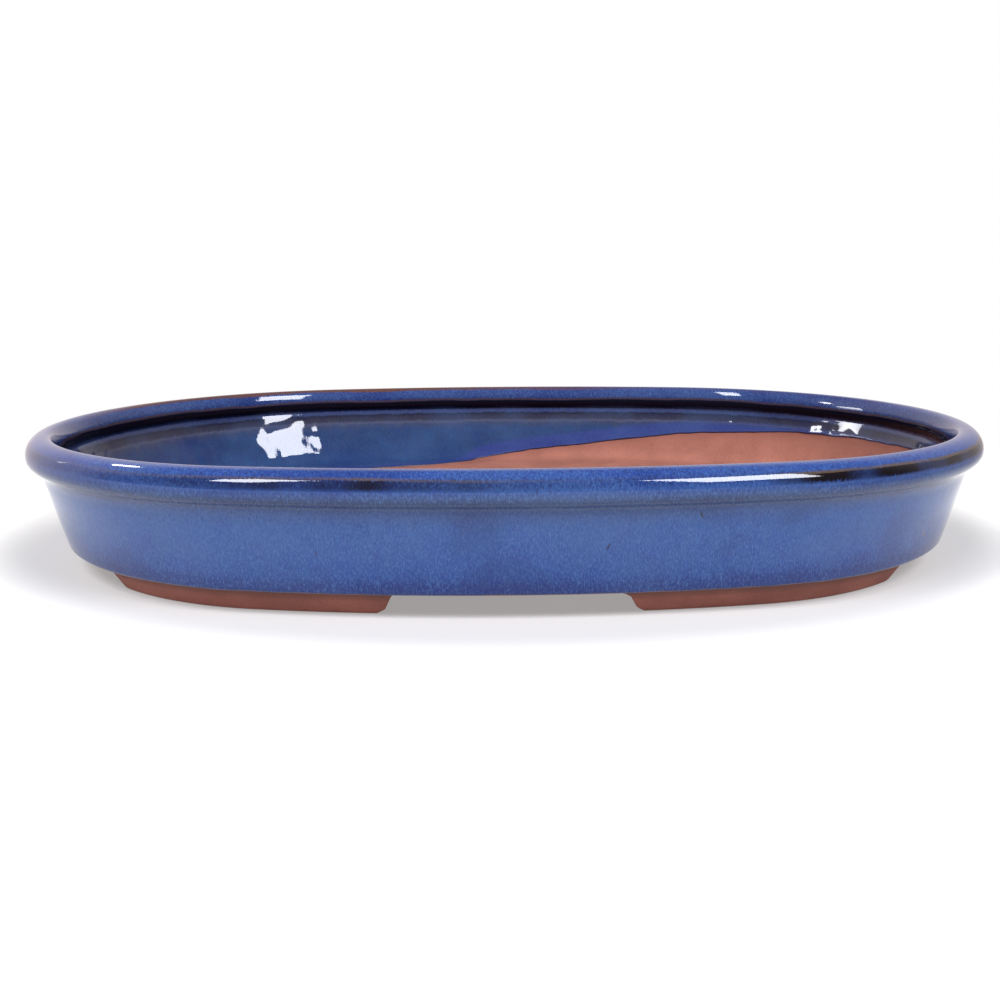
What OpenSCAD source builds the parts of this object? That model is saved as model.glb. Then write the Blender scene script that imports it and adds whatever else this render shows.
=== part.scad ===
// Large shallow oval bonsai pot of fired clay: a floor slab, a leaning wall, a thick rolled lip, four
// bracket feet, and a coat of glaze over the outer wall, the lip and the upper part of the inner wall.
// Frame: +Z up, +X along the oval, origin on the resting plane at the centre of the pot.
// Lengths are in millimetres. An inset is a distance in from the outermost line of the lip.

/* [Oval] */
// Overall length over the lip
pot_length = 500; // [440:5:560]
// Overall width over the lip
pot_width = 340; // [332:2:370]
// Overall height from the feet to the top of the lip
pot_height = 67.5; // [62:0.5:90]
// Radius of the two ends of the oval
end_radius = 162; // [140:1:163]

/* [Lip] */
// Width of the glazed lip
lip_w = 15.6; // [15:0.2:18]
// Height of the lip from its widest line to its top
lip_h = 11.2; // [10:0.2:12]
// Inset of the lip's highest line
lip_crest = 9.6; // [9:0.2:9.6]
// Radius of the lip's top on its inner side
lip_nose_r = 4; // [3:0.1:4.5]
// Radius of the two lower edges of the lip
lip_low_r = 3.4; // [2.5:0.1:4]

/* [Wall] */
// Inset of the glazed outer wall under the lip
wall_top_inset = 5.6; // [4.5:0.1:7]
// Inset of the glazed outer wall at the bottom
wall_foot_inset = 16.6; // [14:0.2:20]
// Radius of the bottom outer corner of the wall
wall_corner_r = 4; // [3:0.5:6]
// Clay thickness of the wall under the lip
wall_top_t = 6; // [5:0.1:7]
// Clay thickness of the wall at the floor
wall_foot_t = 11.5; // [7:0.5:12]
// Thickness of the glaze coat
glaze_t = 0.8; // [0.5:0.1:1]
// Height of the bare rim under the glaze at the bottom of the outer wall
bare_rim = 1.2; // [1:0.1:2]
// Height above the ground at which the glaze ends on the inner wall
glaze_end_z = 36; // [34:1:42]

/* [Floor] */
// Thickness of the floor slab
floor_t = 9; // [7:0.5:11]
// Inset at which the flat floor starts, inside the hollow corner at the wall's foot
floor_inset = 34; // [31:1:36]
// Diameter of each of the two drain holes
drain_d = 28; // [20:1:40]
// Distance of each drain hole from the centre
drain_x = 100; // [60:1:120]
// Diameter of the wire holes that tie the tree down
wire_d = 5; // [4:0.5:8]
// Distance of the four wire holes from the short axis
wire_x = 145; // [130:1:160]
// Distance of the four wire holes from the long axis
wire_y = 55; // [30:1:70]

/* [Feet] */
// Height of the feet
foot_h = 10.5; // [8:0.5:12]
// Inset of a foot's outer face under the floor
foot_top_inset = 21.6; // [21.6:0.2:24]
// Inset of a foot's outer face at the ground
foot_low_inset = 27.5; // [24:0.5:30]
// Width of a foot's sole
foot_w = 16; // [10:1:24]
// Chamfer along the edges of a foot's sole
foot_chamfer = 1.2; // [0.5:0.1:2]
// Half of the gap between two feet on a long side, at their tops
foot_gap = 50.5; // [35:0.5:70]
// Direction from the long axis in which a foot ends, in degrees
foot_end_angle = 45.5; // [35:0.5:55]
// How far a foot's end on the long side leans in from top to bottom
foot_side_lean = 7; // [2:0.5:10]
// How far a foot's end towards the end of the oval leans in from top to bottom
foot_end_lean = 4; // [2:0.5:10]

/* [Hidden] */
$fn = 240;
clay = [0.6, 0.38, 0.33];
clay_shade = [0.48, 0.31, 0.28];
glaze_blue = [0.3, 0.42, 0.64];

// The oval is four tangent arcs, so a line at a constant inset is again four arcs on the same centres.
half_l = pot_length / 2;
half_w = pot_width / 2;
end_x = half_l - end_radius;
side_radius = (half_l ^ 2 + half_w ^ 2 - 2 * half_l * end_radius) / (2 * (half_w - end_radius));
side_y = side_radius - half_w;
side_angle = atan2(end_x, side_y);

// The lip's section is a large quarter round outside, a small round top and a large round side inside, and
// two small quarter rounds below. The top's arc runs smoothly into the inner side's.
lip_z = pot_height - lip_h;
crease_z = lip_z - lip_low_r;
nose_w = lip_w - lip_crest;
inner_side_r = (nose_w ^ 2 + lip_h ^ 2 - 2 * lip_h * lip_nose_r) / (2 * (nose_w - lip_nose_r));
nose_end = 180 - atan2(lip_h - lip_nose_r, inner_side_r - nose_w);

// The wall's faces are straight lines in the section, leaning outwards.
floor_z = foot_h + floor_t;
wall_slope = (wall_foot_inset - wall_top_inset) / (crease_z - foot_h);
lean = atan(wall_slope);
clay_slope = (wall_foot_t - wall_top_t) / (crease_z - floor_z);
function outer_inset(z) = wall_foot_inset - wall_slope * (z - foot_h);
function inner_inset(z) = outer_inset(z) + glaze_t + wall_foot_t - clay_slope * (z - floor_z);

// The rounded bottom corner of the wall touches its outer face and its underside.
corner_z = foot_h + wall_corner_r;
corner_inset = outer_inset(corner_z) + wall_corner_r / cos(lean);

// The hollow corner touches the inner face of the wall and the top of the floor.
inner_slope = wall_slope + clay_slope;
inner_lean = atan(inner_slope);
cove_r = (floor_inset - inner_inset(floor_z)) / (1 / cos(inner_lean) - inner_slope);
cove_z = floor_z + cove_r;

wire_holes = [for (x = [-wire_x, wire_x], y = [-wire_y, wire_y]) [x, y]];

// How far a cutting shape runs past what it cuts
eps = 1;
// How many degrees a sweep runs past the arc that it is cut to
spare_angle = 5;
// How far inside the wall's section the cuts that bound the glaze start
cut_inset = 2 * floor_inset;
// Steps along the small and the large arcs of the sections
corner_steps = 6;
side_steps = 10;

// ---- sweeps: a section is drawn at x = -inset, y = height ----

// The arcs meet on the lines that join their centres. Each plan outline here holds one arc.
joint_near = [end_x, 0];
joint_far = [3 * end_x, 2 * side_y];

module end_plan(side) {
    polygon([for (p = [
        joint_near,
        joint_far,
        [pot_length, joint_far.y],
        [pot_length, -joint_far.y],
        [joint_far.x, -joint_far.y]
    ]) [side * p.x, p.y]]);
}

module side_plan(side) {
    polygon([for (p = [
        joint_near,
        joint_far,
        [-joint_far.x, joint_far.y],
        -joint_near
    ]) [p.x, side * p.y]]);
}

module over_height() {
    translate([0, 0, -eps])
        linear_extrude(pot_height + 2 * eps)
            children();
}

module end_sweep(side) {
    intersection() {
        translate([side * end_x, 0, 0])
            rotate_extrude(start = -90 * side, angle = 180)
                translate([end_radius, 0])
                    children();
        over_height()
            end_plan(side);
    }
}

module side_sweep(side) {
    intersection() {
        translate([0, -side * side_y, 0])
            rotate_extrude(start = 90 * side - side_angle - spare_angle, angle = 2 * (side_angle + spare_angle))
                translate([side_radius, 0])
                    children();
        over_height()
            side_plan(side);
    }
}

module oval_sweep() {
    for (side = [-1, 1]) {
        end_sweep(side)
            children();
        side_sweep(side)
            children();
    }
}

module oval_plan(inset) {
    for (side = [-1, 1]) {
        intersection() {
            translate([side * end_x, 0])
                circle(r = end_radius - inset);
            end_plan(side);
        }
        intersection() {
            translate([0, -side * side_y])
                circle(r = side_radius - inset, $fn = 900);
            side_plan(side);
        }
    }
}

// ---- sections: at depth 0 they end at the glazed surface, at depth glaze_t at the clay ----

function arc(x, y, r, from, to, steps) =
    [for (i = [0:steps]) let (a = from + (to - from) * i / steps) [x + r * cos(a), y + r * sin(a)]];

module box_section(left, right, low, high) {
    translate([left, low])
        square([right - left, high - low]);
}

module lip_section(depth) {
    polygon(concat(
        arc(-lip_low_r, lip_z, lip_low_r - depth, -90, 0, corner_steps),
        arc(-lip_crest, pot_height - lip_crest, lip_crest - depth, 0, 90, side_steps),
        arc(-lip_crest, pot_height - lip_nose_r, lip_nose_r - depth, 90, nose_end, corner_steps),
        arc(inner_side_r - lip_w, lip_z, inner_side_r - depth, nose_end, 180, corner_steps),
        arc(lip_low_r - lip_w, lip_z, lip_low_r - depth, 180, 270, corner_steps)
    ));
}

// The wall, with its hollow corner, up to the middle of the lip
module wall_section(depth) {
    outer_step = depth / cos(lean);
    inner_step = glaze_t - depth;
    polygon(concat(
        [[-outer_inset(lip_z) - outer_step, lip_z]],
        arc(-corner_inset, corner_z, wall_corner_r - depth, -lean, -90, corner_steps),
        [[-corner_inset - 2 * glaze_t, foot_h], [-floor_inset, foot_h]],
        arc(-floor_inset, cove_z, cove_r - inner_step, -90, -inner_lean, side_steps),
        [[-inner_inset(lip_z) - inner_step / cos(inner_lean), lip_z]]
    ));
}

module clay_section() {
    wall_section(glaze_t);
    lip_section(glaze_t);
}

// ---- sub-parts ----

module floor_slab() {
    color(clay)
        difference() {
            translate([0, 0, foot_h])
                linear_extrude(floor_t)
                    oval_plan(floor_inset);
            for (side = [-1, 1])
                translate([side * drain_x, 0, foot_h - eps])
                    cylinder(d = drain_d, h = floor_t + 2 * eps);
            for (place = wire_holes)
                translate([place.x, place.y, foot_h - eps])
                    cylinder(d = wire_d, h = floor_t + 2 * eps);
        }
}

module wall_band() {
    color(clay)
        oval_sweep()
            difference() {
                wall_section(glaze_t);
                lip_section(glaze_t);
            }
}

module rolled_lip() {
    color(clay_shade)
        oval_sweep()
            lip_section(glaze_t);
}

module glaze_coat() {
    mid_inset = inner_inset(glaze_end_z) - wall_top_t / 2;
    low_inset = inner_inset(foot_h) - wall_top_t / 2;
    color(glaze_blue)
        oval_sweep()
            difference() {
                union() {
                    wall_section(0);
                    lip_section(0);
                }
                clay_section();
                polygon([
                    [-mid_inset, glaze_end_z],
                    [-low_inset, foot_h - eps],
                    [-cut_inset, foot_h - eps],
                    [-cut_inset, glaze_end_z]
                ]);
                box_section(-cut_inset, 0, foot_h - eps, foot_h + bare_rim);
            }
}

// One foot, front right: a strip along the oval with both ends cut on a lean.
module foot() {
    reach = half_l;
    past_sole = (foot_h + eps) / foot_h;
    intersection() {
        union() {
            end_sweep(1)
                foot_section();
            side_sweep(-1)
                foot_section();
        }
        rotate([90, 0, 0])
            linear_extrude(reach)
                polygon([
                    [foot_gap, foot_h],
                    [foot_gap + foot_side_lean * past_sole, -eps],
                    [reach, -eps],
                    [reach, foot_h]
                ]);
        translate([end_x, 0, 0])
            rotate([0, 0, -foot_end_angle])
                rotate([90, 0, 90])
                    linear_extrude(reach)
                        polygon([
                            [0, foot_h],
                            [-foot_end_lean * past_sole, -eps],
                            [-reach, -eps],
                            [-reach, foot_h]
                        ]);
    }
}

module foot_section() {
    sole_inner = foot_low_inset + foot_w;
    face_slope = (foot_low_inset - foot_top_inset) / foot_h;
    polygon([
        [-foot_top_inset, foot_h],
        [-foot_low_inset + face_slope * foot_chamfer, foot_chamfer],
        [-foot_low_inset - foot_chamfer / 2, 0],
        [-sole_inner + foot_chamfer, 0],
        [-sole_inner, foot_chamfer],
        [-sole_inner - foot_chamfer, foot_h]
    ]);
}

module foot_front_right() {
    color(clay_shade)
        foot();
}

module foot_front_left() {
    color(clay_shade)
        mirror([1, 0, 0])
            foot();
}

module foot_back_right() {
    color(clay_shade)
        mirror([0, 1, 0])
            foot();
}

module foot_back_left() {
    color(clay_shade)
        rotate([0, 0, 180])
            foot();
}

floor_slab();
wall_band();
rolled_lip();
glaze_coat();
foot_front_left();
foot_front_right();
foot_back_left();
foot_back_right();
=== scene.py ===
"""Looks for the large oval bonsai pot: bare clay walls, floor and feet, and the blue glaze over them.

The pieces are swept around the same four-arc oval as the CAD part, in metres, in its frame:
+Z up, +X along the oval, origin on the resting plane at the pot's centre.
"""

import math
from types import SimpleNamespace

import bpy
import numpy as np
from mathutils import Matrix, Vector, geometry, kdtree, noise


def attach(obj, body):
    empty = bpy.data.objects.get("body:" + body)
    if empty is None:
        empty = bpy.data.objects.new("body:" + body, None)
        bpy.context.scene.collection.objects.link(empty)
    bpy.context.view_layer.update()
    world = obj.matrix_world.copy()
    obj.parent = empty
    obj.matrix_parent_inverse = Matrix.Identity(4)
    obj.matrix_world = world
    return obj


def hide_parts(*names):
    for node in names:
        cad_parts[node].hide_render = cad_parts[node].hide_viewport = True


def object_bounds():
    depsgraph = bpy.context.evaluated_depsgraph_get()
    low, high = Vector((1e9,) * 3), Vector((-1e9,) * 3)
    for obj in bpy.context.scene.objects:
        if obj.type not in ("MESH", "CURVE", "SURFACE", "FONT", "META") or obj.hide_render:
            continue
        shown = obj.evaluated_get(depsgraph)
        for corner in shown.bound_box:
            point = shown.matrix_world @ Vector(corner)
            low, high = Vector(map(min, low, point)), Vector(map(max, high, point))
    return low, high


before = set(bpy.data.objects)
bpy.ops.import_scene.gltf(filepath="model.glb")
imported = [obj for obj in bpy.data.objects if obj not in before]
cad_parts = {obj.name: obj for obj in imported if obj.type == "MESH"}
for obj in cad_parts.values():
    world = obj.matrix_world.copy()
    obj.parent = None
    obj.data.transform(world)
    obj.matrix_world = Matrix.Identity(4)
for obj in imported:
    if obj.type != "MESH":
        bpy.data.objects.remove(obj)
cad_low, cad_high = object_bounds()

MM = 0.001
TAU = 2 * math.pi
QUARTER = math.pi / 2

# ---- the pot's dimensions, as in the CAD part ----
HALF_LENGTH = (cad_high.x - cad_low.x) / 2
HALF_WIDTH = (cad_high.y - cad_low.y) / 2
HEIGHT = cad_high.z
END_RADIUS = 162 * MM
LIP_WIDTH = 15.6 * MM
LIP_HEIGHT = 11.2 * MM
LIP_CREST = 9.6 * MM
LIP_NOSE_R = 4 * MM
LIP_LOW_R = 3.4 * MM
WALL_TOP_INSET = 5.6 * MM
WALL_FOOT_INSET = 16.6 * MM
WALL_CORNER_R = 4 * MM
WALL_TOP_T = 6 * MM
WALL_FOOT_T = 11.5 * MM
INNER_BOW = 0.8 * MM
GLAZE_T = 0.8 * MM
FLOOR_T = 9 * MM
FLOOR_INSET = 34 * MM
DRAIN_R = 14 * MM
DRAIN_X = 100 * MM
WIRE_R = 2.5 * MM
WIRE_X = 145 * MM
WIRE_Y = 55 * MM
FOOT_H = 10.5 * MM
FOOT_TOP_INSET = 21.6 * MM
FOOT_LOW_INSET = 27.5 * MM
FOOT_WIDTH = 16 * MM
FOOT_GAP = 50.5 * MM
FOOT_END_ANGLE = math.radians(45.5)

# ---- lines of the section that follow from them ----
END_X = HALF_LENGTH - END_RADIUS
SIDE_RADIUS = (HALF_LENGTH**2 + HALF_WIDTH**2 - 2 * HALF_LENGTH * END_RADIUS) / (
    2 * (HALF_WIDTH - END_RADIUS)
)
SIDE_Y = SIDE_RADIUS - HALF_WIDTH
END_SPAN = QUARTER - math.atan2(END_X, SIDE_Y)
LIP_Z = HEIGHT - LIP_HEIGHT
NOSE_WIDTH = LIP_WIDTH - LIP_CREST
LIP_SIDE_R = (NOSE_WIDTH**2 + LIP_HEIGHT**2 - 2 * LIP_HEIGHT * LIP_NOSE_R) / (2 * (NOSE_WIDTH - LIP_NOSE_R))
NOSE_END = math.pi - math.atan2(LIP_HEIGHT - LIP_NOSE_R, LIP_SIDE_R - NOSE_WIDTH)
CREASE_Z = LIP_Z - LIP_LOW_R
FLOOR_Z = FOOT_H + FLOOR_T
WALL_SLOPE = (WALL_FOOT_INSET - WALL_TOP_INSET) / (CREASE_Z - FOOT_H)
CLAY_SLOPE = (WALL_FOOT_T - WALL_TOP_T) / (CREASE_Z - FLOOR_Z)
INNER_SLOPE = WALL_SLOPE + CLAY_SLOPE
LEAN = math.atan(WALL_SLOPE)
INNER_LEAN = math.atan(INNER_SLOPE)
COVE_LEAN = INNER_LEAN + math.radians(5)
CORNER_Z = FOOT_H + WALL_CORNER_R


def outer_inset(z):
    return WALL_FOOT_INSET - WALL_SLOPE * (z - FOOT_H)


def inner_inset(z):
    return outer_inset(z) + GLAZE_T + WALL_FOOT_T - CLAY_SLOPE * (z - FLOOR_Z)


CORNER_INSET = outer_inset(CORNER_Z) + WALL_CORNER_R / math.cos(LEAN)
COVE_R = (FLOOR_INSET - inner_inset(FLOOR_Z)) / (1 / math.cos(INNER_LEAN) - INNER_SLOPE)
COVE_Z = FLOOR_Z + COVE_R

# ---- the plan: the oval is four tangent arcs, and a line at a constant inset keeps their centres ----
ARCS = np.array(
    [
        (END_X, 0, END_RADIUS, -END_SPAN, END_SPAN),
        (0, -SIDE_Y, SIDE_RADIUS, END_SPAN, math.pi - END_SPAN),
        (-END_X, 0, END_RADIUS, math.pi - END_SPAN, math.pi + END_SPAN),
        (0, SIDE_Y, SIDE_RADIUS, math.pi + END_SPAN, TAU - END_SPAN),
    ]
)
ARC_ENDS = np.cumsum(ARCS[:, 2] * (ARCS[:, 4] - ARCS[:, 3]))
PERIMETER = ARC_ENDS[-1]
FLOW_RADIUS = PERIMETER / TAU
STATIONS = 960
STATION_ALONG = np.arange(STATIONS) / STATIONS * PERIMETER
# An inset about half way down the wall, where what changes round the oval is looked up.
MIDDLE_INSET = 20 * MM
# The glazed line is drawn this far in over the floor, past the furthest that glaze can reach.
LINE_END_INSET = 0.55 * END_RADIUS


def on_oval(along, inset):
    """x and y on the line at that inset; along is a distance round the outermost line."""
    along, inset = np.broadcast_arrays(np.asarray(along, float) % PERIMETER, inset)
    which = np.minimum(np.searchsorted(ARC_ENDS, along, side="right"), 3)
    arc = ARCS[which]
    start = np.concatenate([[0], ARC_ENDS])[which]
    angle = arc[..., 3] + (along - start) / arc[..., 2]
    reach = arc[..., 2] - inset
    return arc[..., 0] + reach * np.cos(angle), arc[..., 1] + reach * np.sin(angle)


def on_ground(x, y):
    """Points at height 0, for noise that changes only over the plan."""
    return np.stack([x, y, np.zeros_like(x)], -1)


def bumps(points, size, seed):
    """Smooth noise from -1 to 1 at each point, with features of about that size."""
    offset = Vector((seed * 7.3, seed * 3.1, seed * 5.7))
    flat = np.asarray(points, float).reshape(-1, 3) / size
    values = [noise.noise(Vector(p) + offset) for p in flat]
    return np.array(values).reshape(np.shape(points)[:-1])


# ---- the section: a line of (inset, z) over the glazed surface, from the underside to the floor ----


def section_arc(inset, z, radius, start, to):
    """Points on an arc of the section; its angle is 0 outwards and a quarter turn upwards."""
    angle = np.linspace(start, to, 24)
    return np.column_stack([inset - radius * np.cos(angle), z + radius * np.sin(angle)])


def bowed(start, end, depth):
    """A shallow arc from start to end, hollow towards the inside of the pot."""
    share = np.linspace(0, 1, 24)[:, None]
    start, end = np.array(start), np.array(end)
    along = (end - start) / np.hypot(*(end - start))
    return start + share * (end - start) + 4 * depth * share * (1 - share) * (along[1], -along[0])


def fillet(start, corner, end):
    """A curve that leaves start towards the corner and reaches end from it."""
    share = np.linspace(0, 1, 24)[:, None]
    start, corner, end = np.array(start), np.array(corner), np.array(end)
    return (1 - share) ** 2 * start + 2 * share * (1 - share) * corner + share**2 * end


def resampled(line, step):
    length = np.concatenate([[0], np.cumsum(np.hypot(*np.diff(line, axis=0).T))])
    even = np.arange(0, length[-1], step)
    return np.column_stack([np.interp(even, length, line[:, i]) for i in (0, 1)])


def softened(line, sigma, step):
    """The line with its corners rounded; its ends stay."""
    reach = int(4 * sigma / step)
    weights = np.exp(-0.5 * (np.arange(-reach, reach + 1) * step / sigma) ** 2)
    weights /= weights.sum()
    before = 2 * line[:1] - line[reach:0:-1]
    after = 2 * line[-1:] - line[-2 : -reach - 2 : -1]
    padded = np.concatenate([before, line, after])
    return np.column_stack([np.convolve(padded[:, i], weights, "valid") for i in (0, 1)])


def crease_line():
    """The soft hollow where the glaze pools under the lip's outer edge."""
    end = (LIP_LOW_R * (1 - math.cos(CREASE_TURN)), LIP_Z - LIP_LOW_R * math.sin(CREASE_TURN))
    back = (outer_inset(end[1]) - end[0]) / (math.sin(CREASE_TURN) - WALL_SLOPE * math.cos(CREASE_TURN))
    corner = (end[0] + back * math.sin(CREASE_TURN), end[1] - back * math.cos(CREASE_TURN))
    start_z = corner[1] - CREASE_FILLET
    return fillet((outer_inset(start_z), start_z), corner, end)


FINE = 0.1 * MM
CREASE_FILLET = 5 * MM
CREASE_TURN = math.radians(70)
cove_line = section_arc(FLOOR_INSET, COVE_Z, COVE_R - GLAZE_T, -COVE_LEAN, -QUARTER)
glaze_line = np.concatenate(
    [
        [[FLOOR_INSET, FOOT_H]],
        section_arc(CORNER_INSET, CORNER_Z, WALL_CORNER_R, -QUARTER, -LEAN),
        crease_line(),
        section_arc(LIP_LOW_R, LIP_Z, LIP_LOW_R, -CREASE_TURN, 0),
        section_arc(LIP_CREST, HEIGHT - LIP_CREST, LIP_CREST, 0, QUARTER),
        section_arc(LIP_CREST, HEIGHT - LIP_NOSE_R, LIP_NOSE_R, QUARTER, NOSE_END),
        section_arc(LIP_WIDTH - LIP_SIDE_R, LIP_Z, LIP_SIDE_R, NOSE_END, 2 * QUARTER),
        section_arc(LIP_WIDTH - LIP_LOW_R, LIP_Z, LIP_LOW_R, 2 * QUARTER, 3 * QUARTER),
        bowed((inner_inset(CREASE_Z) + GLAZE_T / math.cos(INNER_LEAN), CREASE_Z), cove_line[0], INNER_BOW),
        cove_line,
        [[LINE_END_INSET, FLOOR_Z + GLAZE_T]],
    ]
)
glaze_line = resampled(glaze_line, FINE)
soft_line = softened(glaze_line, 1.7 * MM, FINE)
glaze_line = softened(glaze_line, 0.35 * MM, FINE)
crease_gap = np.abs(glaze_line[:, 1] - CREASE_Z) / (4 * MM)
near_crease = np.clip(1.5 - crease_gap, 0, 1)[:, None]
glaze_line = glaze_line * (1 - near_crease) + soft_line * near_crease
glaze_line = resampled(glaze_line, FINE)
LINE_S = np.arange(len(glaze_line)) * FINE
line_tangent = np.gradient(glaze_line, FINE, axis=0)
line_tangent /= np.hypot(*line_tangent.T)[:, None]
line_normal = np.column_stack([-line_tangent[:, 1], line_tangent[:, 0]])
line_turn = np.abs(np.gradient(np.unwrap(np.arctan2(line_tangent[:, 1], line_tangent[:, 0])), FINE))


def section(s, sunk):
    """Inset and height at distance s along the glazed line, sunk below it by that depth."""
    inset = np.interp(s, LINE_S, glaze_line[:, 0]) - sunk * np.interp(s, LINE_S, line_normal[:, 0])
    z = np.interp(s, LINE_S, glaze_line[:, 1]) - sunk * np.interp(s, LINE_S, line_normal[:, 1])
    return inset, z


def line_s(z, inside):
    """Distance along the glazed line at which the outer or inner wall is at that height."""
    crest = int(np.argmax(glaze_line[:, 1]))
    if inside:
        return LINE_S[crest:][np.argmax(glaze_line[crest:, 1] <= z)]
    return LINE_S[:crest][np.argmax(glaze_line[:crest, 1] >= z)]


def paced(start, to, max_step=1.5 * MM, min_step=0.35 * MM, turn_step=math.radians(8)):
    """Distances along the line, closer together where it turns."""
    fine = np.arange(start, to, FINE)
    turn = np.interp(fine, LINE_S, line_turn)
    turn = np.convolve(np.pad(turn, 10, mode="edge"), np.ones(21) / 21, "valid")
    rate = 1 / np.clip(turn_step / np.maximum(turn, 1e-6), min_step, max_step)
    total = np.concatenate([[0], np.cumsum(rate[:-1] * FINE)])
    count = int(math.ceil(total[-1]))
    return np.interp(np.linspace(0, total[-1], count), total, fine)


CREST_S = LINE_S[int(np.argmax(glaze_line[:, 1]))]
OUTER_CREASE_S = line_s(CREASE_Z - 2 * MM, False)
RUN_START_S = CREST_S - 22.3 * MM
INNER_CREASE_S = line_s(CREASE_Z, True)
FLOOR_S = LINE_S[-1] - (LINE_END_INSET - FLOOR_INSET)

# ---- mesh helpers ----


def mesh_piece(name, points, faces, material, replaced, sharp=math.radians(50)):
    """A smooth-shaded piece that rides on the pot and stands for a CAD node."""
    mesh = bpy.data.meshes.new(name)
    mesh.from_pydata([tuple(p) for p in points], [], [tuple(f) for f in faces])
    mesh.materials.append(material)
    mesh.shade_smooth()
    mesh.set_sharp_from_angle(angle=sharp)
    piece = bpy.data.objects.new(name, mesh)
    bpy.context.scene.collection.objects.link(piece)
    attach(piece, "root")
    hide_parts(replaced)
    return piece


def ring_faces(rows, columns):
    """Quads of a grid closed both ways: its rows go round the oval, its columns round the section."""
    row, column = np.meshgrid(np.arange(rows), np.arange(columns), indexing="ij")
    next_row, next_column = (row + 1) % rows, (column + 1) % columns
    corners = [(row, column), (next_row, column), (next_row, next_column), (row, next_column)]
    return np.stack([r * columns + c for r, c in corners], -1).reshape(-1, 4)


def add_attribute(piece, name, kind, values):
    layer = piece.data.attributes.new(name, kind, "POINT")
    field = "vector" if kind == "FLOAT_VECTOR" else "value"
    layer.data.foreach_set(field, np.asarray(values, np.float32).ravel())


# ---- materials ----


def tint(red, green, blue):
    """A colour given in the 0 to 255 steps of a screen, as the linear light that shaders use."""
    shares = [value / 255 for value in (red, green, blue)]
    return tuple(s / 12.92 if s < 0.04 else ((s + 0.055) / 1.055) ** 2.4 for s in shares) + (1,)


class Graph:
    """One material's nodes: each call adds a node and gives back its output."""

    def __init__(self, name):
        self.material = bpy.data.materials.new(name)
        self.material.use_nodes = True
        self.tree = self.material.node_tree
        self.shader = self.tree.nodes["Principled BSDF"]

    def node(self, kind, settings, inputs, output=0):
        made = self.tree.nodes.new(kind)
        for name, value in settings.items():
            setattr(made, name, value)
        for key, value in inputs.items():
            self.feed(made.inputs[key], value)
        return made.outputs[output]

    def feed(self, socket, value):
        if isinstance(value, bpy.types.NodeSocket):
            self.tree.links.new(value, socket)
        else:
            socket.default_value = value

    def attribute(self, name, output="Fac"):
        return self.node("ShaderNodeAttribute", {"attribute_name": name}, {}, output)

    def math(self, operation, a, b=0.0):
        return self.node("ShaderNodeMath", {"operation": operation}, {0: a, 1: b})

    def remap(self, value, low, high, to_low=0.0, to_high=1.0):
        """A smooth step from to_low, where the value is low, to to_high, where it is high."""
        inputs = {"Value": value, "From Min": low, "From Max": high, "To Min": to_low, "To Max": to_high}
        return self.node("ShaderNodeMapRange", {"interpolation_type": "SMOOTHSTEP"}, inputs)

    def band(self, value, low, low_full, high_full, high):
        """1 from low_full to high_full, falling smoothly to 0 at low and at high."""
        return self.math("MULTIPLY", self.remap(value, low, low_full), self.remap(value, high, high_full))

    def stretched(self, position, across, along, shift=0.0):
        """The position counted in features of that size, across and along the glaze's run."""
        step = (1 / across, 1 / across, 1 / along)
        scaled = self.node("ShaderNodeVectorMath", {"operation": "MULTIPLY"}, {0: position, 1: step})
        return self.node("ShaderNodeVectorMath", {"operation": "ADD"}, {0: scaled, 1: (shift, shift, shift)})

    def noise(self, position, across, along, shift, detail=2.0, roughness=0.5):
        inputs = {"Scale": 1.0, "Detail": detail, "Roughness": roughness}
        inputs["Vector"] = self.stretched(position, across, along, shift)
        return self.node("ShaderNodeTexNoise", {}, inputs)

    def mix(self, share, a, b, blend="MIX"):
        settings = {"data_type": "RGBA", "blend_type": blend}
        return self.node("ShaderNodeMix", settings, {0: share, 6: a, 7: b}, 2)

    def ramp(self, value, stops):
        """A colour looked up along stops of (value, red, green, blue)."""
        low, high = stops[0][0], stops[-1][0]
        inputs = {"Value": value, "From Min": low, "From Max": high}
        share = self.node("ShaderNodeMapRange", {}, inputs)
        output = self.node("ShaderNodeValToRGB", {}, {0: share})
        elements = output.node.color_ramp.elements
        while len(elements) < len(stops):
            elements.new(0.5)
        for element, (place, *color) in zip(elements, stops):
            element.position = (place - low) / (high - low)
            element.color = tint(*color)
        return output

    def bump(self, height, distance, normal=None):
        inputs = {"Height": height, "Distance": distance, "Strength": 1.0}
        if normal is not None:
            inputs["Normal"] = normal
        return self.node("ShaderNodeBump", {}, inputs)


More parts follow.
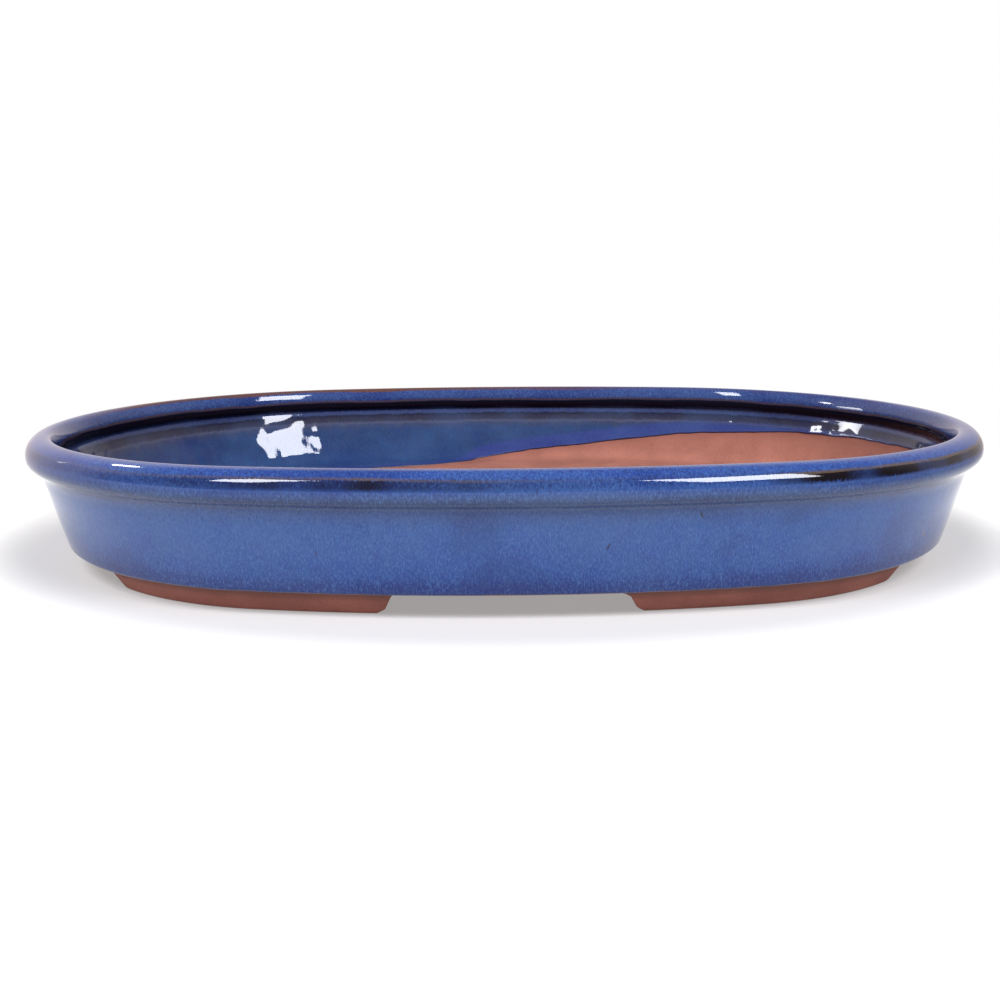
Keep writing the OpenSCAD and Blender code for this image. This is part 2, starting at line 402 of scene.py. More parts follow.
# Colours of the glaze along its run: millimetres up the wall, over the lip and down inside. The run is 0 just
# under the outer crease.
GLAZE_RUN = [
    (-46, 14, 22, 70),
    (-41, 18, 36, 96),
    (-36, 23, 52, 116),
    (-29, 27, 61, 126),
    (-17, 29, 66, 130),
    (-10, 35, 72, 136),
    (-5, 46, 76, 134),
    (-3, 44, 70, 124),
    # Painted shade: the ramp is darker from run 0 to 6, in the crease under the lip's outer edge.
    (0, 30, 48, 88),
    (6, 30, 50, 90),
    (9.5, 44, 68, 122),
    (11.5, 30, 50, 104),
    (14, 36, 56, 108),
    (16.5, 40, 62, 124),
    (19, 42, 64, 124),
    (22, 44, 62, 116),
    (26, 44, 58, 108),
    (29.5, 44, 58, 106),
    # Painted shade: the ramp is darker from run 33 to 39.6, in the hollow under the lip's inner edge.
    (33, 26, 34, 78),
    (39.6, 18, 22, 60),
    # Painted highlight: a pale line from run 41 to 42.6, along the inner crease under the lip.
    (41, 40, 48, 82),
    (42.6, 50, 56, 88),
    (43.6, 24, 22, 28),
    (45, 40, 37, 46),
    (47.5, 46, 44, 54),
    (49, 66, 68, 86),
    (50.5, 50, 55, 76),
    (54, 38, 52, 84),
    (84, 36, 54, 92),
]


# Small dark marks scattered over the outer wall, and one chip low on its right, in millimetres.
MARK_COUNT = 12
MARK_LOW, MARK_HIGH = -32, 8
CHIP = (95, -28, 1.1, 1.9, 0.4)


def scattered_marks():
    """Distance round the oval, run, half width, half height and lean of each mark."""
    for number in range(MARK_COUNT):
        around, up, size = (number * ratio % 1 for ratio in (0.618, 0.414, 0.732))
        run = MARK_LOW + (MARK_HIGH - MARK_LOW) * up
        yield around * PERIMETER / MM, run, 0.35 + 0.2 * size, 0.9 + 1.4 * size, size - 0.5


# Tints of the glaze's reflections: cool in general, and warm where iron shows on the back crest.
COOL_SHINE = (0.92, 0.93, 1, 1)
WARM_SHINE = (1, 0.84, 0.72, 1)


def mark_share(graph, flow, along, run, half_width, half_height, lean):
    """1 inside an oval mark on the glaze, 0 outside it."""
    turn = along * MM / PERIMETER * TAU
    centre = (FLOW_RADIUS * math.cos(turn), FLOW_RADIUS * math.sin(turn), run * MM)
    offset = graph.node("ShaderNodeVectorMath", {"operation": "SUBTRACT"}, {0: flow, 1: centre})
    sideways = tuple(part / (half_width * MM) for part in (-math.sin(turn), math.cos(turn), -lean))
    upwards = (0, 0, 1 / (half_height * MM))
    squares = []
    for way in (sideways, upwards):
        reach = graph.node("ShaderNodeVectorMath", {"operation": "DOT_PRODUCT"}, {0: offset, 1: way}, "Value")
        squares.append(graph.math("POWER", reach, 2))
    return graph.remap(graph.math("ADD", *squares), 1, 0.3, 0, 0.85)


def glaze_fields(graph):
    """Places on the glaze, in millimetres, and the noises that its looks are made from."""
    flow = graph.attribute("flow", "Vector")
    clouds = graph.noise(flow, 45 * MM, 30 * MM, 4.1, 2.0, 0.5)
    run = graph.math("MULTIPLY", graph.attribute("run"), 1000)
    return SimpleNamespace(
        flow=flow,
        run=run,
        from_low=graph.math("MULTIPLY", graph.attribute("from_low"), 1000),
        from_high=graph.math("MULTIPLY", graph.attribute("from_high"), 1000),
        breaking=graph.attribute("breaking"),
        crest_iron=graph.attribute("crest_iron"),
        streaks=graph.noise(flow, 0.6 * MM, 1.6 * MM, 1.3, 3.0, 0.65),
        threads=graph.noise(flow, 0.4 * MM, 3 * MM, 7.7, 1.0),
        clouds=clouds,
        drops=graph.noise(flow, 6 * MM, 16 * MM, 9.4, 2.0, 0.5),
        mottle=graph.noise(flow, 8 * MM, 11 * MM, 6.6, 4.0, 0.6),
        speckle=graph.noise(flow, 0.9 * MM, 1.1 * MM, 2.9, 2.0, 0.6),
        edge_run=graph.math("ADD", run, graph.remap(clouds, 0.25, 0.75, -0.6, 0.6)),
    )


def zone_color(graph, at):
    """The zones of colour: they wander up and down on the walls, and stay level on and under the lip."""
    loose = graph.math("ADD", graph.remap(at.run, -3, -9), graph.remap(at.run, 48, 56))
    loose = graph.math("ADD", graph.math("MULTIPLY", loose, 0.85), 0.15)
    slow, quick = graph.remap(at.drops, 0.25, 0.75, -2.5, 2.5), graph.remap(at.streaks, 0.25, 0.75, -1, 1)
    wander = graph.math("MULTIPLY", graph.math("ADD", slow, quick), loose)
    color = graph.ramp(graph.math("ADD", at.run, wander), GLAZE_RUN)
    # The walls drift between a violet and a greener blue, mottled where the glaze has run.
    on_walls = graph.math("MULTIPLY", loose, graph.remap(at.run, -9, 48, 0.9, 0.5))
    green = graph.math("MULTIPLY", graph.remap(at.mottle, 0.42, 0.68), on_walls)
    color = graph.mix(graph.math("MULTIPLY", green, 0.35), color, tint(28, 74, 124))
    violet = graph.math("MULTIPLY", graph.remap(at.mottle, 0.5, 0.3), on_walls)
    color = graph.mix(graph.math("MULTIPLY", violet, 0.4), color, tint(20, 46, 112))
    inner = graph.math("MULTIPLY", graph.remap(at.from_high, 11, 7), graph.remap(at.run, 46, 52))
    color = graph.mix(inner, color, tint(44, 54, 106))
    ragged_low = graph.math("ADD", at.from_low, graph.remap(at.streaks, 0.3, 0.7, -2, 2))
    return graph.mix(graph.remap(ragged_low, 9, 4, 0, 0.8), color, tint(6, 32, 96))


def with_hairs(graph, at, color):
    """Fine pale and dark hairs of the glaze, and slow changes from lighter to darker."""
    outside = graph.math("ADD", graph.remap(at.run, 44, 36), 0.2)
    pale = graph.math("MULTIPLY", graph.remap(at.streaks, 0.45, 0.7, 0, 0.5), outside)
    color = graph.mix(pale, color, tint(66, 98, 150))
    color = graph.mix(graph.remap(at.streaks, 0.5, 0.3, 0, 0.42), color, tint(12, 32, 96))
    color = graph.mix(graph.remap(at.threads, 0.6, 0.85, 0, 0.16), color, tint(84, 112, 158))
    color = graph.mix(graph.remap(at.clouds, 0.45, 0.7, 0, 0.22), color, tint(60, 84, 126))
    return graph.mix(graph.remap(at.clouds, 0.5, 0.3, 0, 0.35), color, tint(14, 30, 88))


def crest_share(graph, at):
    """How strongly iron shows on the crest of the lip."""
    return graph.math("MULTIPLY", graph.band(at.edge_run, 17, 19, 25.6, 26.8), at.crest_iron)


def with_iron_and_hollow_shade(graph, at, color):
    """Brown where the glaze thins over the lip, and painted shade, near to the darkest, in the hollow under
    its inner edge.
    """
    brown = graph.band(at.edge_run, 32.0, 32.6, 33.4, 34)
    color = graph.mix(graph.math("MULTIPLY", brown, 0.8), color, tint(58, 42, 40))
    # Painted shade: the hollow under the lip's inner edge is drawn very dark.
    hollow_shade = graph.band(at.edge_run, 33.2, 34, 37.5, 40.4)
    color = graph.mix(graph.math("MULTIPLY", hollow_shade, 0.97), color, tint(9, 6, 13))
    color = graph.mix(crest_share(graph, at), color, tint(84, 58, 50))
    on_lip = graph.band(at.run, 6, 10, 30, 36)
    blotch = graph.math("MULTIPLY", graph.remap(at.speckle, 0.5, 0.66), on_lip)
    color = graph.mix(graph.math("MULTIPLY", blotch, 0.5), color, tint(30, 32, 60))
    place = graph.math("ADD", at.run, graph.remap(at.streaks, 0.3, 0.7, -0.7, 0.7))
    dark = graph.math("MULTIPLY", graph.band(place, 8.6, 10.4, 13.6, 14.6), at.breaking)
    color = graph.mix(dark, color, tint(18, 14, 18))
    gold = graph.math("MULTIPLY", graph.band(at.edge_run, 13.2, 13.6, 14.4, 15.0), at.breaking)
    return graph.mix(graph.math("MULTIPLY", gold, 0.7), color, tint(80, 66, 52))


def with_marks(graph, at, color):
    """The small marks, a pale thread where the glaze stops outside, and a dark one inside."""
    for mark in scattered_marks():
        color = graph.mix(mark_share(graph, at.flow, *mark), color, tint(22, 20, 32))
    color = graph.mix(mark_share(graph, at.flow, *CHIP), color, tint(104, 76, 62))
    color = graph.mix(graph.remap(at.from_low, 0.7, 0.3, 0, 0.5), color, tint(120, 120, 160))
    return graph.mix(graph.remap(at.from_high, 0.9, 0.3, 0, 0.8), color, tint(30, 26, 48))


def set_glaze_shine(graph, at):
    """Glassy all over, but matt at the inner edge and without shine in the hollow under the lip."""
    fine = graph.remap(at.speckle, 0.4, 0.75, 0.018, 0.04)
    matt = graph.math("ADD", fine, graph.math("MULTIPLY", at.breaking, 0.02))
    matt = graph.math("ADD", matt, graph.remap(at.from_high, 1.8, 0.7, 0, 0.35))
    graph.feed(graph.shader.inputs["Roughness"], matt)
    graph.shader.inputs["IOR"].default_value = 1.52
    hollow = graph.band(at.edge_run, 30, 32, 38, 41)
    graph.feed(graph.shader.inputs["Specular IOR Level"], graph.remap(hollow, 0, 1, 0.5, 0.05))
    iron_tint = graph.mix(crest_share(graph, at), COOL_SHINE, WARM_SHINE)
    graph.feed(graph.shader.inputs["Specular Tint"], iron_tint)
    skin = graph.bump(at.streaks, 0.006 * MM)
    graph.feed(graph.shader.inputs["Normal"], graph.bump(at.drops, 0.05 * MM, skin))


def glaze_material():
    graph = Graph("BlueGlaze")
    at = glaze_fields(graph)
    color = zone_color(graph, at)
    for layer in (with_hairs, with_iron_and_hollow_shade, with_marks):
        color = layer(graph, at, color)
    graph.feed(graph.shader.inputs["Base Color"], color)
    set_glaze_shine(graph, at)
    return graph.material


def clay_material(name, body, dark, pale, painted_shade_tint):
    """Bare fired clay: a grainy body with dark and pale specks, and painted shade that darkens it where the
    mesh marks it, near the glaze's inner end and at the top of the feet.
    """
    graph = Graph(name)
    position = graph.node("ShaderNodeTexCoord", {}, {}, "Object")
    grain = graph.noise(position, 0.8 * MM, 0.8 * MM, 1.7, 4.0, 0.65)
    cloud = graph.noise(position, 24 * MM, 24 * MM, 5.2, 3.0, 0.55)
    specks = graph.noise(position, 0.6 * MM, 0.6 * MM, 8.3, 1.0)
    pits = graph.noise(position, 1.6 * MM, 1.6 * MM, 3.6, 2.0)
    color = graph.mix(graph.remap(cloud, 0.3, 0.7), tint(*body), graph.mix(0.5, tint(*body), tint(*dark)))
    color = graph.mix(graph.remap(grain, 0.35, 0.65, 0.35, 0), color, tint(*dark))
    color = graph.mix(graph.remap(specks, 0.6, 0.7, 0, 0.25), color, tint(*pale))
    color = graph.mix(graph.remap(pits, 0.34, 0.26, 0, 0.7), color, tint(*dark))
    # Painted shade, as the mesh marks it, in its own darker colour.
    painted_shade = graph.attribute("painted_shade")
    color = graph.mix(graph.math("MULTIPLY", painted_shade, 0.8), color, tint(*painted_shade_tint))
    graph.feed(graph.shader.inputs["Base Color"], color)
    graph.feed(graph.shader.inputs["Roughness"], graph.remap(grain, 0.3, 0.7, 0.72, 0.9))
    height = graph.math("ADD", grain, graph.remap(pits, 0.34, 0.26, 0, -1))
    graph.feed(graph.shader.inputs["Normal"], graph.bump(height, 0.1 * MM))
    return graph.material


# The last colour of each clay is its painted shade.
bare_clay = clay_material("BareClay", (150, 97, 84), (112, 68, 59), (190, 146, 126), (112, 66, 58))
foot_clay = clay_material("FootClay", (152, 92, 78), (108, 58, 48), (176, 122, 104), (78, 44, 38))
blue_glaze = glaze_material()

# ---- the glaze coat ----
# On the inside the glaze ends on a slant: high on the wall at the right end, lower and lower to the left,
# and then out over the floor.
EDGE_RIGHT_Z = 45 * MM
EDGE_MIDDLE_Z = 23 * MM
EDGE_CURVE = 1.4
EDGE_SPREAD = 25 * MM
EDGE_SPREAD_DROP = 5 * MM
# The glaze reaches its full thickness this far from its ends.
BEAD = 1.3 * MM
# How strongly iron shows on the lip's outer face. Each pair is x in millimetres and a share, read along the
# front. The back has it turned round, so that its left is as its right in front.
BREAKING = [
    (-250, 0.6),
    (-180, 0.15),
    (-125, 0.4),
    (-60, 0.75),
    (-20, 0.5),
    (20, 0.1),
    (100, 0.1),
    (116, 1),
    (250, 1),
]
# How strongly it shows on the crest, along the back.
CREST_IRON = [(-250, 0.2), (-215, 0.9), (-60, 1), (30, 0.7), (110, 0.2), (250, 0.1)]


def inner_edge_s(x, y):
    """Where the glaze ends inside, as a distance along the glazed line."""
    level = EDGE_RIGHT_Z - (EDGE_RIGHT_Z - EDGE_MIDDLE_Z) * (1 - x / HALF_LENGTH) ** EDGE_CURVE
    lowest = FLOOR_Z + GLAZE_T + 0.05 * MM
    inside = LINE_S >= INNER_CREASE_S
    on_wall = np.interp(np.maximum(level, lowest), glaze_line[inside, 1][::-1], LINE_S[inside][::-1])
    on_floor = EDGE_SPREAD * (1 - np.exp(-np.maximum(lowest - level, 0) / EDGE_SPREAD_DROP))
    points = on_ground(x, y)
    return on_wall + on_floor + 0.9 * MM * bumps(points, 30 * MM, 1) + 0.4 * MM * bumps(points, 8 * MM, 2)


def ring_places(s, sunk):
    """Points of the rings round the oval; s and sunk have one row for each station."""
    inset, z = section(s, sunk)
    x, y = on_oval(STATION_ALONG[:, None], inset)
    return np.stack([x, y, z], -1)


def glaze_rows(low_s, high_s):
    """Distances along the glazed line for each station, closest together at both ends of the glaze."""
    fixed = paced(line_s(CORNER_Z + 4 * MM, False), INNER_CREASE_S + 2 * MM)
    low_share = np.linspace(0, 1, 18)[:-1] ** 1.7
    high_share = 1 - (1 - np.linspace(0, 1, 64)[1:]) ** 1.5
    low_part = low_s[:, None] + (fixed[0] - low_s[:, None]) * low_share
    high_part = fixed[-1] + (high_s[:, None] - fixed[-1]) * high_share
    return np.concatenate([low_part, np.broadcast_to(fixed, (STATIONS, len(fixed))), high_part], 1)


def glaze_outside(s, low_s, high_s):
    """The glaze's free surface: rounded off at its ends, and rippled inside the pot."""
    thick = GLAZE_T * np.ones_like(s)
    for gap in (s - low_s[:, None], high_s[:, None] - s):
        thick = thick * np.sqrt(1 - (1 - np.clip(gap / BEAD, 0, 1)) ** 2)
    smooth = ring_places(s, GLAZE_T - thick)
    ripple = 0.62 * bumps(smooth, 16 * MM, 4)
    ripple = ripple + 0.36 * bumps(smooth, 8 * MM, 5)
    ripple = ripple + 0.08 * bumps(smooth, 4 * MM, 10)
    ripple *= np.clip((s - INNER_CREASE_S - 1 * MM) / (6 * MM), 0, 1)
    ripple += 0.03 * bumps(smooth, 16 * MM, 6)
    return ring_places(s, GLAZE_T - thick * (1 + ripple))


def iron_shares(x, y):
    """How strongly iron shows on the lip's outer face and on its crest, at each station."""
    along, strength = np.array(BREAKING).T
    breaking = np.interp(x * np.where(y < 0, 1, -1), along * MM, strength)
    breaking = np.clip(breaking * (0.95 + 0.5 * bumps(on_ground(x, y), 12 * MM, 9)), 0, 1)
    along, strength = np.array(CREST_IRON).T
    crest_iron = np.interp(x, along * MM, strength) * np.clip(y / (60 * MM), 0, 1)
    return breaking, crest_iron


def build_glaze():
    x, y = on_oval(STATION_ALONG, MIDDLE_INSET)
    low_s = line_s(FOOT_H + 1.0 * MM, False) + 0.5 * MM * bumps(on_ground(x, y), 14 * MM, 3)
    high_s = inner_edge_s(x, y)
    s = glaze_rows(low_s, high_s)
    outer = glaze_outside(s, low_s, high_s)
    back_columns = np.unique(np.round(np.linspace(1, s.shape[1] - 2, 60)).astype(int))[::-1]
    back_s = s[:, back_columns]
    grid = np.concatenate([outer, ring_places(back_s, GLAZE_T + 0.1 * MM)], 1)
    faces = ring_faces(*grid.shape[:2])
    piece = mesh_piece("GlazeCoat", grid.reshape(-1, 3), faces, blue_glaze, "glaze_coat")
    all_s = np.concatenate([s, back_s], 1)
    turn = STATION_ALONG / PERIMETER * TAU
    flow = np.empty((*all_s.shape, 3))
    flow[..., 0] = (FLOW_RADIUS * np.cos(turn))[:, None]
    flow[..., 1] = (FLOW_RADIUS * np.sin(turn))[:, None]
    flow[..., 2] = all_s - RUN_START_S
    add_attribute(piece, "flow", "FLOAT_VECTOR", flow)
    add_attribute(piece, "run", "FLOAT", all_s - RUN_START_S)
    add_attribute(piece, "from_low", "FLOAT", all_s - low_s[:, None])
    add_attribute(piece, "from_high", "FLOAT", high_s[:, None] - all_s)
    for name, shares in zip(("breaking", "crest_iron"), iron_shares(x, y)):
        add_attribute(piece, name, "FLOAT", np.broadcast_to(shares[:, None], all_s.shape))


build_glaze()

# ---- the clay wall, with its hollow corner ----
# Painted shade reaches about this far from the glaze's inner end.
SHADE_REACH = 5 * MM


def glaze_end_tree():
    """The inner end of the glaze, as points among which the nearest is looked up."""
    x, y = on_oval(STATION_ALONG, MIDDLE_INSET)
    inset, z = section(inner_edge_s(x, y), 0)
    x, y = on_oval(STATION_ALONG, inset)
    tree = kdtree.KDTree(STATIONS)
    for number, place in enumerate(zip(x, y, z)):
        tree.insert(place, number)
    tree.balance()
    return tree


glaze_end = glaze_end_tree()


def shade_beside_glaze(piece):
    """Marks painted shade on the clay: darker close to the inner edge of the glaze, up the cove."""
    gaps = np.array([glaze_end.find(vertex.co)[2] for vertex in piece.data.vertices])
    add_attribute(piece, "painted_shade", "FLOAT", np.exp(-gaps / SHADE_REACH))


def clay_lift(x, y):
    """How far the clay's surface stands off its drawn line, in metres."""
    points = on_ground(x, y)
    return 0.10 * MM * bumps(points, 35 * MM, 7) + 0.04 * MM * bumps(points, 9 * MM, 8)


def build_wall():
    bottom = np.array([[FLOOR_INSET, FOOT_H], [CORNER_INSET + 2 * GLAZE_T, FOOT_H]])
    outside = section(paced(line_s(FOOT_H + 0.3 * MM, False), OUTER_CREASE_S - 2 * MM), GLAZE_T)
    inside = section(paced(INNER_CREASE_S + 2 * MM, FLOOR_S - 0.8 * MM), GLAZE_T)
    seam = np.array([[FLOOR_INSET, FLOOR_Z]])
    loop = np.concatenate([bottom, np.column_stack(outside), np.column_stack(inside), seam])
    x, y = on_oval(STATION_ALONG[:, None], loop[:, 0])
    lift = clay_lift(x, y) * (np.arange(len(loop)) >= len(bottom) + len(outside[0]))
    grid = np.stack([x, y, loop[:, 1] + lift], -1)
    faces = ring_faces(*grid.shape[:2])
    return mesh_piece("ClayWall", grid.reshape(-1, 3), faces, bare_clay, "wall_band")


shade_beside_glaze(build_wall())

# ---- the clay floor, with rounded drain and wire holes ----
# Each hole is x, y, its radius, the rounding of its rims, and how many sides it is drawn with.
HOLES = [(side * DRAIN_X, 0, DRAIN_R, 1.4 * MM, 72) for side in (-1, 1)] + [
    (sx * WIRE_X, sy * WIRE_Y, WIRE_R, 0.6 * MM, 24) for sx in (-1, 1) for sy in (-1, 1)
]
# The floor's points lie on a grid of triangles, this many steps to each side of the centre.
GRID_STEP = 4 * MM
GRID_ROW = 0.866
GRID_COLUMNS, GRID_ROWS = 56, 36
# The side arcs fall away from the widest line by less than this.
SIDE_FALL = 12 * MM


def floor_plan():
    """The floor's outline, hole rims and triangles between them, in plan."""
    flat = list(zip(*on_oval(STATION_ALONG, FLOOR_INSET)))
    loops = [list(range(STATIONS))]
    for hx, hy, radius, fillet, count in HOLES:
        angle = np.arange(count) / count * TAU
        rim = radius + fillet
        first = len(flat)
        flat += [(hx + rim * math.cos(a), hy + rim * math.sin(a)) for a in angle]
        loops.append(list(range(first, first + count)))
    for i in np.arange(-GRID_COLUMNS, GRID_COLUMNS + 1):
        for j in np.arange(-GRID_ROWS, GRID_ROWS + 1):
            gx, gy = (i + 0.5 * (j % 2)) * GRID_STEP, j * GRID_STEP * GRID_ROW
            dx = max(abs(gx) - END_X, 0)
            room = HALF_WIDTH - FLOOR_INSET - abs(gy) - SIDE_FALL
            if dx:
                room = END_RADIUS - FLOOR_INSET - math.hypot(dx, gy)
            clear = all(math.hypot(gx - h[0], gy - h[1]) > h[2] + h[3] + 1.5 * MM for h in HOLES)
            if room > 3 * MM and clear:
                flat.append((gx, gy))
    edges = [(loop[k], loop[(k + 1) % len(loop)]) for loop in loops for k in range(len(loop))]
    out = geometry.delaunay_2d_cdt([Vector(p) for p in flat], edges, [], 0, 1e-7)
    verts, tris = np.array([tuple(v) for v in out[0]]), out[2]
    kept = []
    for tri in tris:
        cx, cy = verts[list(tri)].mean(0)
        if not any(math.hypot(cx - h[0], cy - h[1]) < h[2] + h[3] for h in HOLES):
            kept.append(tuple(tri))
    return verts, kept, loops


def build_floor():
    plan, triangles, loops = floor_plan()
    count = len(plan)
    lift = clay_lift(plan[:, 0], plan[:, 1])
    top = np.column_stack([plan, FLOOR_Z + lift])
    bottom = np.column_stack([plan, np.full(count, FOOT_H)])
    points = [tuple(p) for p in np.concatenate([top, bottom])]
    faces = list(triangles) + [(c + count, b + count, a + count) for a, b, c in triangles]
    outline = loops[0]
    for k, here in enumerate(outline):
        after = outline[(k + 1) % len(outline)]
        faces.append((here, here + count, after + count, after))
    for (hx, hy, radius, fillet, _), rim in zip(HOLES, loops[1:]):
        angle = np.array([math.atan2(plan[i, 1] - hy, plan[i, 0] - hx) for i in rim])
        steps = [(QUARTER * k / 4, True) for k in (1, 2, 3, 4)]
        steps += [(turn, False) for turn, _ in reversed(steps)]
        rings = [list(rim)]
        for turn, upper in steps:
            reach = radius + fillet * (1 - math.sin(turn))
            drop = fillet * (1 - math.cos(turn))
            first = len(points)
            for k, a in enumerate(angle):
                z = top[rim[k], 2] - drop if upper else FOOT_H + drop
                points.append((hx + reach * math.cos(a), hy + reach * math.sin(a), z))
            rings.append(list(range(first, first + len(rim))))
        rings.append([i + count for i in rim])
        for ring, lower in zip(rings, rings[1:]):
            for k in range(len(rim)):
                n = (k + 1) % len(rim)
                faces.append((ring[k], ring[n], lower[n], lower[k]))
    return mesh_piece("ClayFloor", points, faces, bare_clay, "floor_slab")


shade_beside_glaze(build_floor())

# ---- the feet ----
SOLE_INNER = FOOT_LOW_INSET + FOOT_WIDTH
foot_line = [
    (FOOT_TOP_INSET - 1.0 * MM, FOOT_H + 0.4 * MM),
    (FOOT_TOP_INSET + 0.4 * MM, FOOT_H - 1.0 * MM),
    (FOOT_LOW_INSET - 0.6 * MM, 1.2 * MM),
    (FOOT_LOW_INSET + 0.7 * MM, 0),
    (SOLE_INNER - 1.2 * MM, 0),
    (SOLE_INNER, 1.2 * MM),
    (SOLE_INNER + 1.2 * MM, FOOT_H + 0.4 * MM),
]
foot_line = resampled(np.array(foot_line), FINE)
foot_line = softened(foot_line, 0.35 * MM, FINE)[::6]
foot_line[:, 1] = np.maximum(foot_line[:, 1], 0)
FOOT_RINGS = 110
FOOT_EDGE_R = 0.9 * MM


def end_recess(z, lean, top_flare, toe):
    """How far a foot's end is cut back at height z: it leans, flares at the top and is cut at the toe."""
    down = 1 - z / FOOT_H
    flare = top_flare * np.clip(1 - down * FOOT_H / (2.2 * MM), 0, 1) ** 2
    chamfer = toe * np.clip(1 - z / (2.4 * MM), 0, 1)
    return lean * down - flare + chamfer


def build_foot(name, node, mirror_x, mirror_y, inner_end, outer_end, seed):
    """A strip along the oval, made front right and mirrored into place, with rounded edges at its ends."""
    inset, z = foot_line.T
    tangent = np.gradient(foot_line, axis=0)
    tangent /= np.hypot(*tangent.T)[:, None]
    normal = np.column_stack([tangent[:, 1], -tangent[:, 0]])
    front_start = ARC_ENDS[2] - PERIMETER
    gap = FOOT_GAP + end_recess(z, *inner_end)
    near = front_start + (np.arcsin(gap / (SIDE_RADIUS - inset)) + QUARTER - END_SPAN) * SIDE_RADIUS
    cut_back = end_recess(z, *outer_end) * END_RADIUS / (END_RADIUS - inset)
    far = (END_SPAN - FOOT_END_ANGLE) * END_RADIUS - cut_back
    turns = np.linspace(QUARTER, 0, 5)
    rounding = [(FOOT_EDGE_R * (1 - math.sin(t)), FOOT_EDGE_R * (1 - math.cos(t))) for t in turns]
    rings = []
    for gap_in, shrink in rounding:
        rings.append((near + gap_in, shrink))
    for u in np.linspace(0, 1, FOOT_RINGS)[1:-1]:
        rings.append((near + FOOT_EDGE_R + (far - near - 2 * FOOT_EDGE_R) * u, 0))
    for gap_in, shrink in reversed(rounding):
        rings.append((far - gap_in, shrink))
    grid = []
    for along, shrink in rings:
        x, y = on_oval(along, inset - normal[:, 0] * shrink)
        grid.append(np.column_stack([x, y, np.maximum(z - normal[:, 1] * shrink, 0)]))
    grid = np.array(grid)
    grid *= (mirror_x, mirror_y, 1)
    wobble = bumps(grid, 16 * MM, seed) * 0.18 * MM + bumps(grid, 5 * MM, seed + 1) * 0.06 * MM
    centre = grid.mean(1, keepdims=True)
    away = grid - centre
    away[..., 2] = 0
    away /= np.maximum(np.linalg.norm(away, axis=2, keepdims=True), 1e-9)
    grid += away * wobble[..., None] * (grid[..., 2:] > 0.2 * MM)
    rows, columns = grid.shape[:2]
    points = [tuple(p) for p in grid.reshape(-1, 3)] + [tuple(grid[0].mean(0)), tuple(grid[-1].mean(0))]
    faces = []
    for i in range(rows - 1):
        for j in range(columns):
            n = (j + 1) % columns
            faces.append((i * columns + j, i * columns + n, (i + 1) * columns + n, (i + 1) * columns + j))
    for j in range(columns):
        n = (j + 1) % columns
        last = (rows - 1) * columns
        faces.append((rows * columns, n, j))
        faces.append((rows * columns + 1, last + j, last + n))
    if mirror_x * mirror_y < 0:
        faces = [f[::-1] for f in faces]
    foot = mesh_piece(name, points, faces, foot_clay, node)
    high = np.array([point[2] for point in points])
    # Painted shade: each foot is drawn darker towards its top, under the pot's body.
    add_attribute(foot, "painted_shade", "FLOAT", np.clip((high - 6.5 * MM) / (4 * MM), 0, 1))


# Each end of a foot is its lean, its flare at the top and its cut at the toe.
PLAIN_END = (3 * MM, 0.6 * MM, 0.6 * MM)
build_foot("FootFrontRight", "foot_front_right", 1, 1, (5.5 * MM, 3 * MM, 2 * MM), PLAIN_END, 21)
build_foot("FootFrontLeft", "foot_front_left", -1, 1, (4.6 * MM, 0.8 * MM, 2.6 * MM), PLAIN_END, 31)
build_foot("FootBackRight", "foot_back_right", 1, -1, (5.5 * MM, 1.5 * MM, 2 * MM), PLAIN_END, 41)
build_foot("FootBackLeft", "foot_back_left", -1, -1, (5 * MM, 1.5 * MM, 2 * MM), PLAIN_END, 51)

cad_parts["rolled_lip"].data.materials.clear()
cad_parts["rolled_lip"].data.materials.append(bare_clay)

# ---- the table under the pot, fading out into a white backdrop that only the camera sees ----
TABLE_SIZE = 2.4
TABLE_GLOW = 0.32
FADE_FROM, FADE_TO = 0.28, 0.62


def table_material():
    """Pale paper, with a painted contact shadow close round the pot, that fades out with distance."""
    paper = Graph("PaleTable")
    place = paper.node("ShaderNodeTexCoord", {}, {}, "Object")
    fibres = paper.noise(place, 6 * MM, 6 * MM, 0.4)
    pot_sizes = (1 / HALF_LENGTH, 1 / HALF_WIDTH, 0)
    in_pots = paper.node("ShaderNodeVectorMath", {"operation": "MULTIPLY"}, {0: place, 1: pot_sizes})
    away = paper.node("ShaderNodeVectorMath", {"operation": "LENGTH"}, {0: in_pots}, "Value")
    sheet = paper.ramp(fibres, [(0, 188, 188, 188), (1, 195, 195, 195)])
    # Painted shadow: the paper is darker close round the pot.
    color = paper.mix(paper.remap(away, 1.0, 1.2), tint(150, 149, 152), sheet)
    paper.feed(paper.shader.inputs["Base Color"], color)
    paper.shader.inputs["Roughness"].default_value = 0.9
    paper.shader.inputs["Emission Color"].default_value = (1, 1, 1, 1)
    paper.shader.inputs["Emission Strength"].default_value = TABLE_GLOW
    distance = paper.node("ShaderNodeVectorMath", {"operation": "LENGTH"}, {0: place}, "Value")
    paper.feed(paper.shader.inputs["Alpha"], paper.remap(distance, FADE_TO, FADE_FROM))
    return paper.material


def backdrop_material():
    glow = Graph("WhiteBackdrop")
    glow.shader.inputs["Base Color"].default_value = (0, 0, 0, 1)
    glow.shader.inputs["Specular IOR Level"].default_value = 0
    glow.shader.inputs["Emission Color"].default_value = (1, 1, 1, 1)
    glow.shader.inputs["Emission Strength"].default_value = 1
    return glow.material


def place_table():
    bpy.ops.mesh.primitive_plane_add(size=TABLE_SIZE, location=(0, 0, -0.05 * MM))
    table = bpy.context.object
    table.name = "Table"
    table.data.materials.append(table_material())


